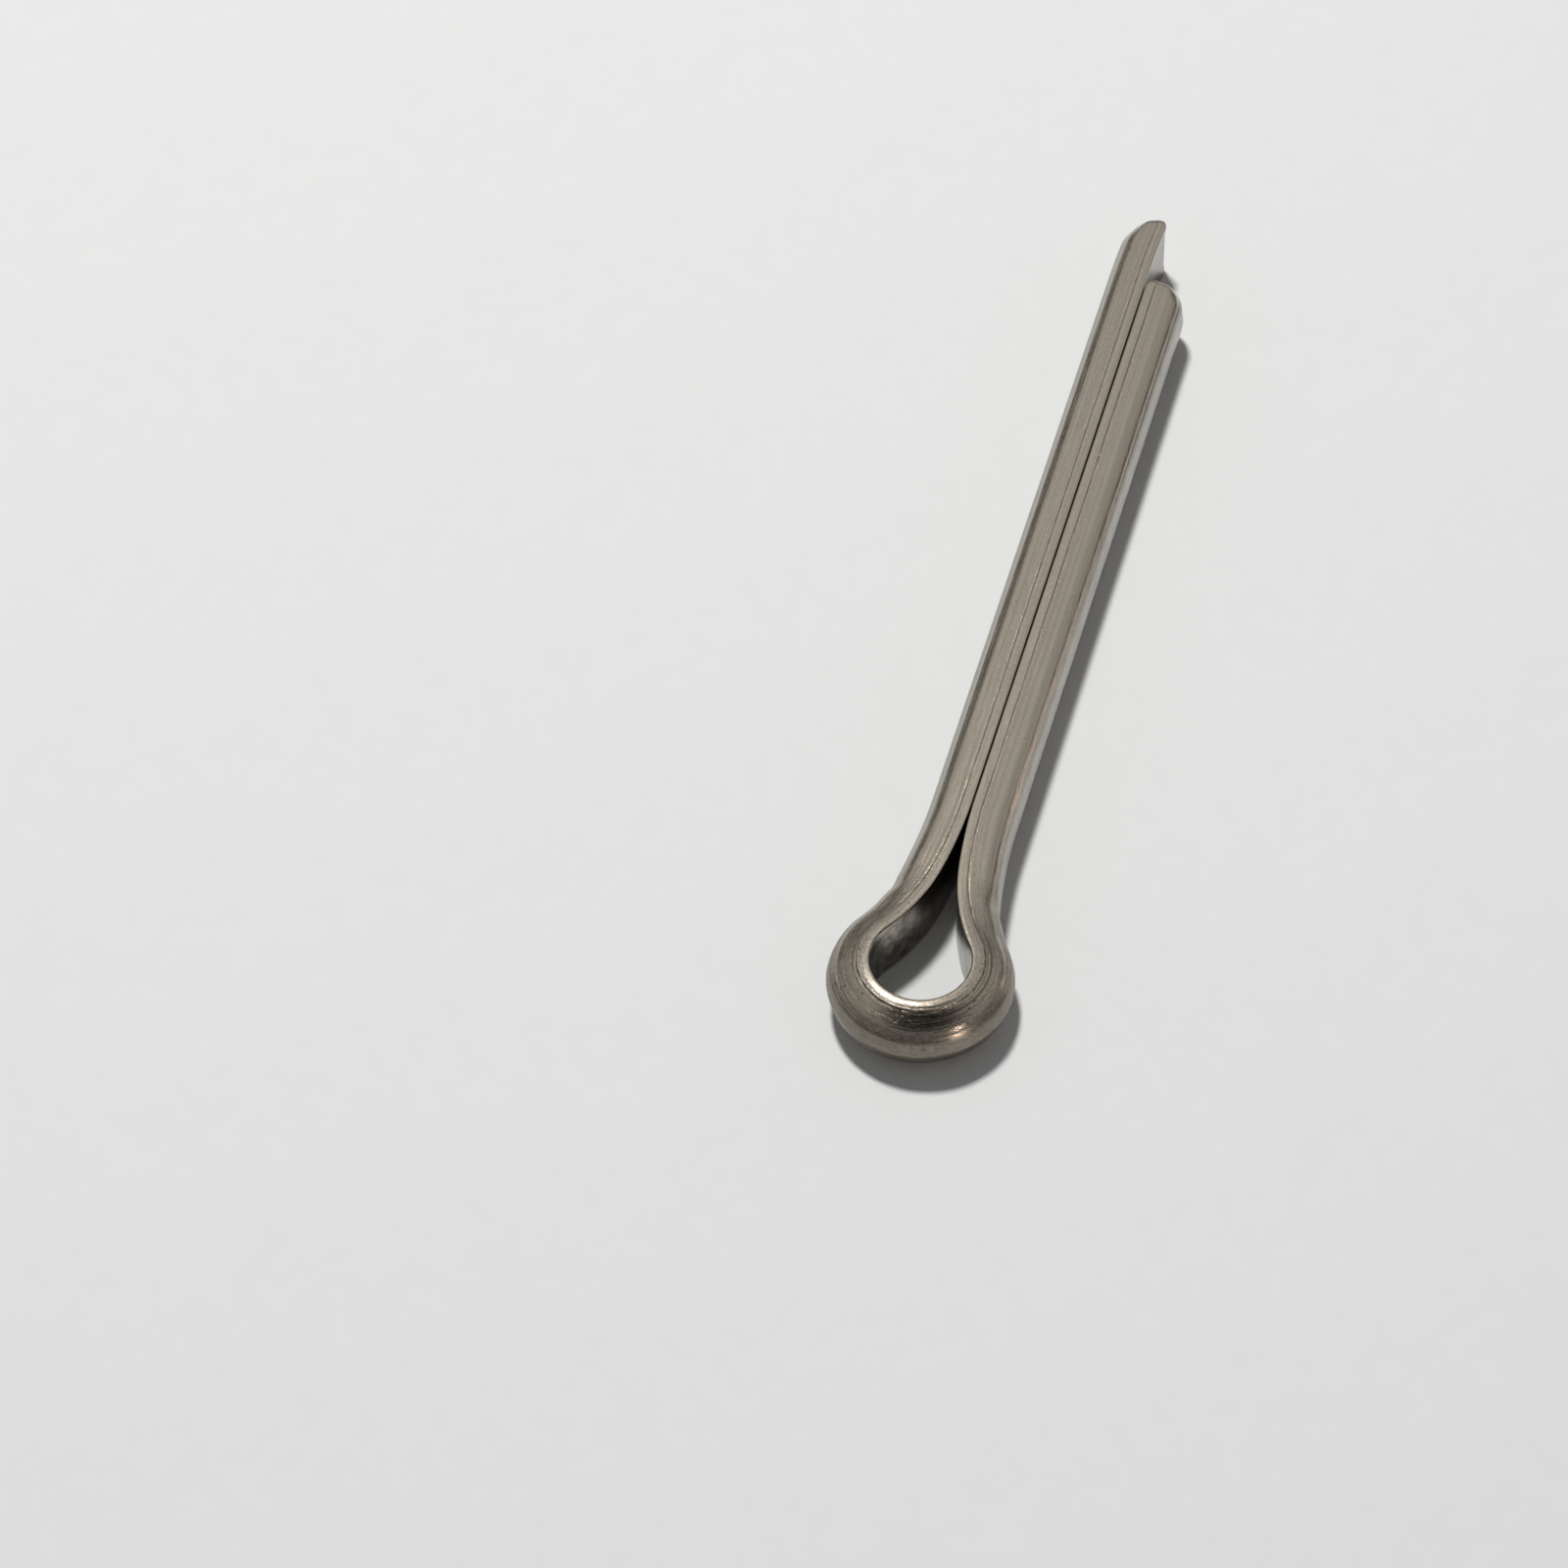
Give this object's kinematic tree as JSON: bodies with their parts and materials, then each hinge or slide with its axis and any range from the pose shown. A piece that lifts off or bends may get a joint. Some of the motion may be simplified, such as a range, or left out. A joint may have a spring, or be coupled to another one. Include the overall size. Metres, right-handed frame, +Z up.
{
  "type": "cotter pin",
  "caption": "Split cotter pin: half-round wire folded back on itself, with a round eye, a tapering neck and two flat-faced legs of unequal length that bend apart to lock it in a cross hole.",
  "frame": {"origin": "on the axis of the eye, at half the wire's height", "axes": "+X along the shank towards the leg ends, +Y towards the longer leg, +Z up along the eye's axis, square to the plane the wire is bent in"},
  "size_m": [0.0429, 0.0072, 0.0028],
  "materials": {
    "wire": "satin, drawn lengthwise"
  },
  "bodies": {
    "root": {"cotter_pin": "wire"}
  },
  "joints": []
}
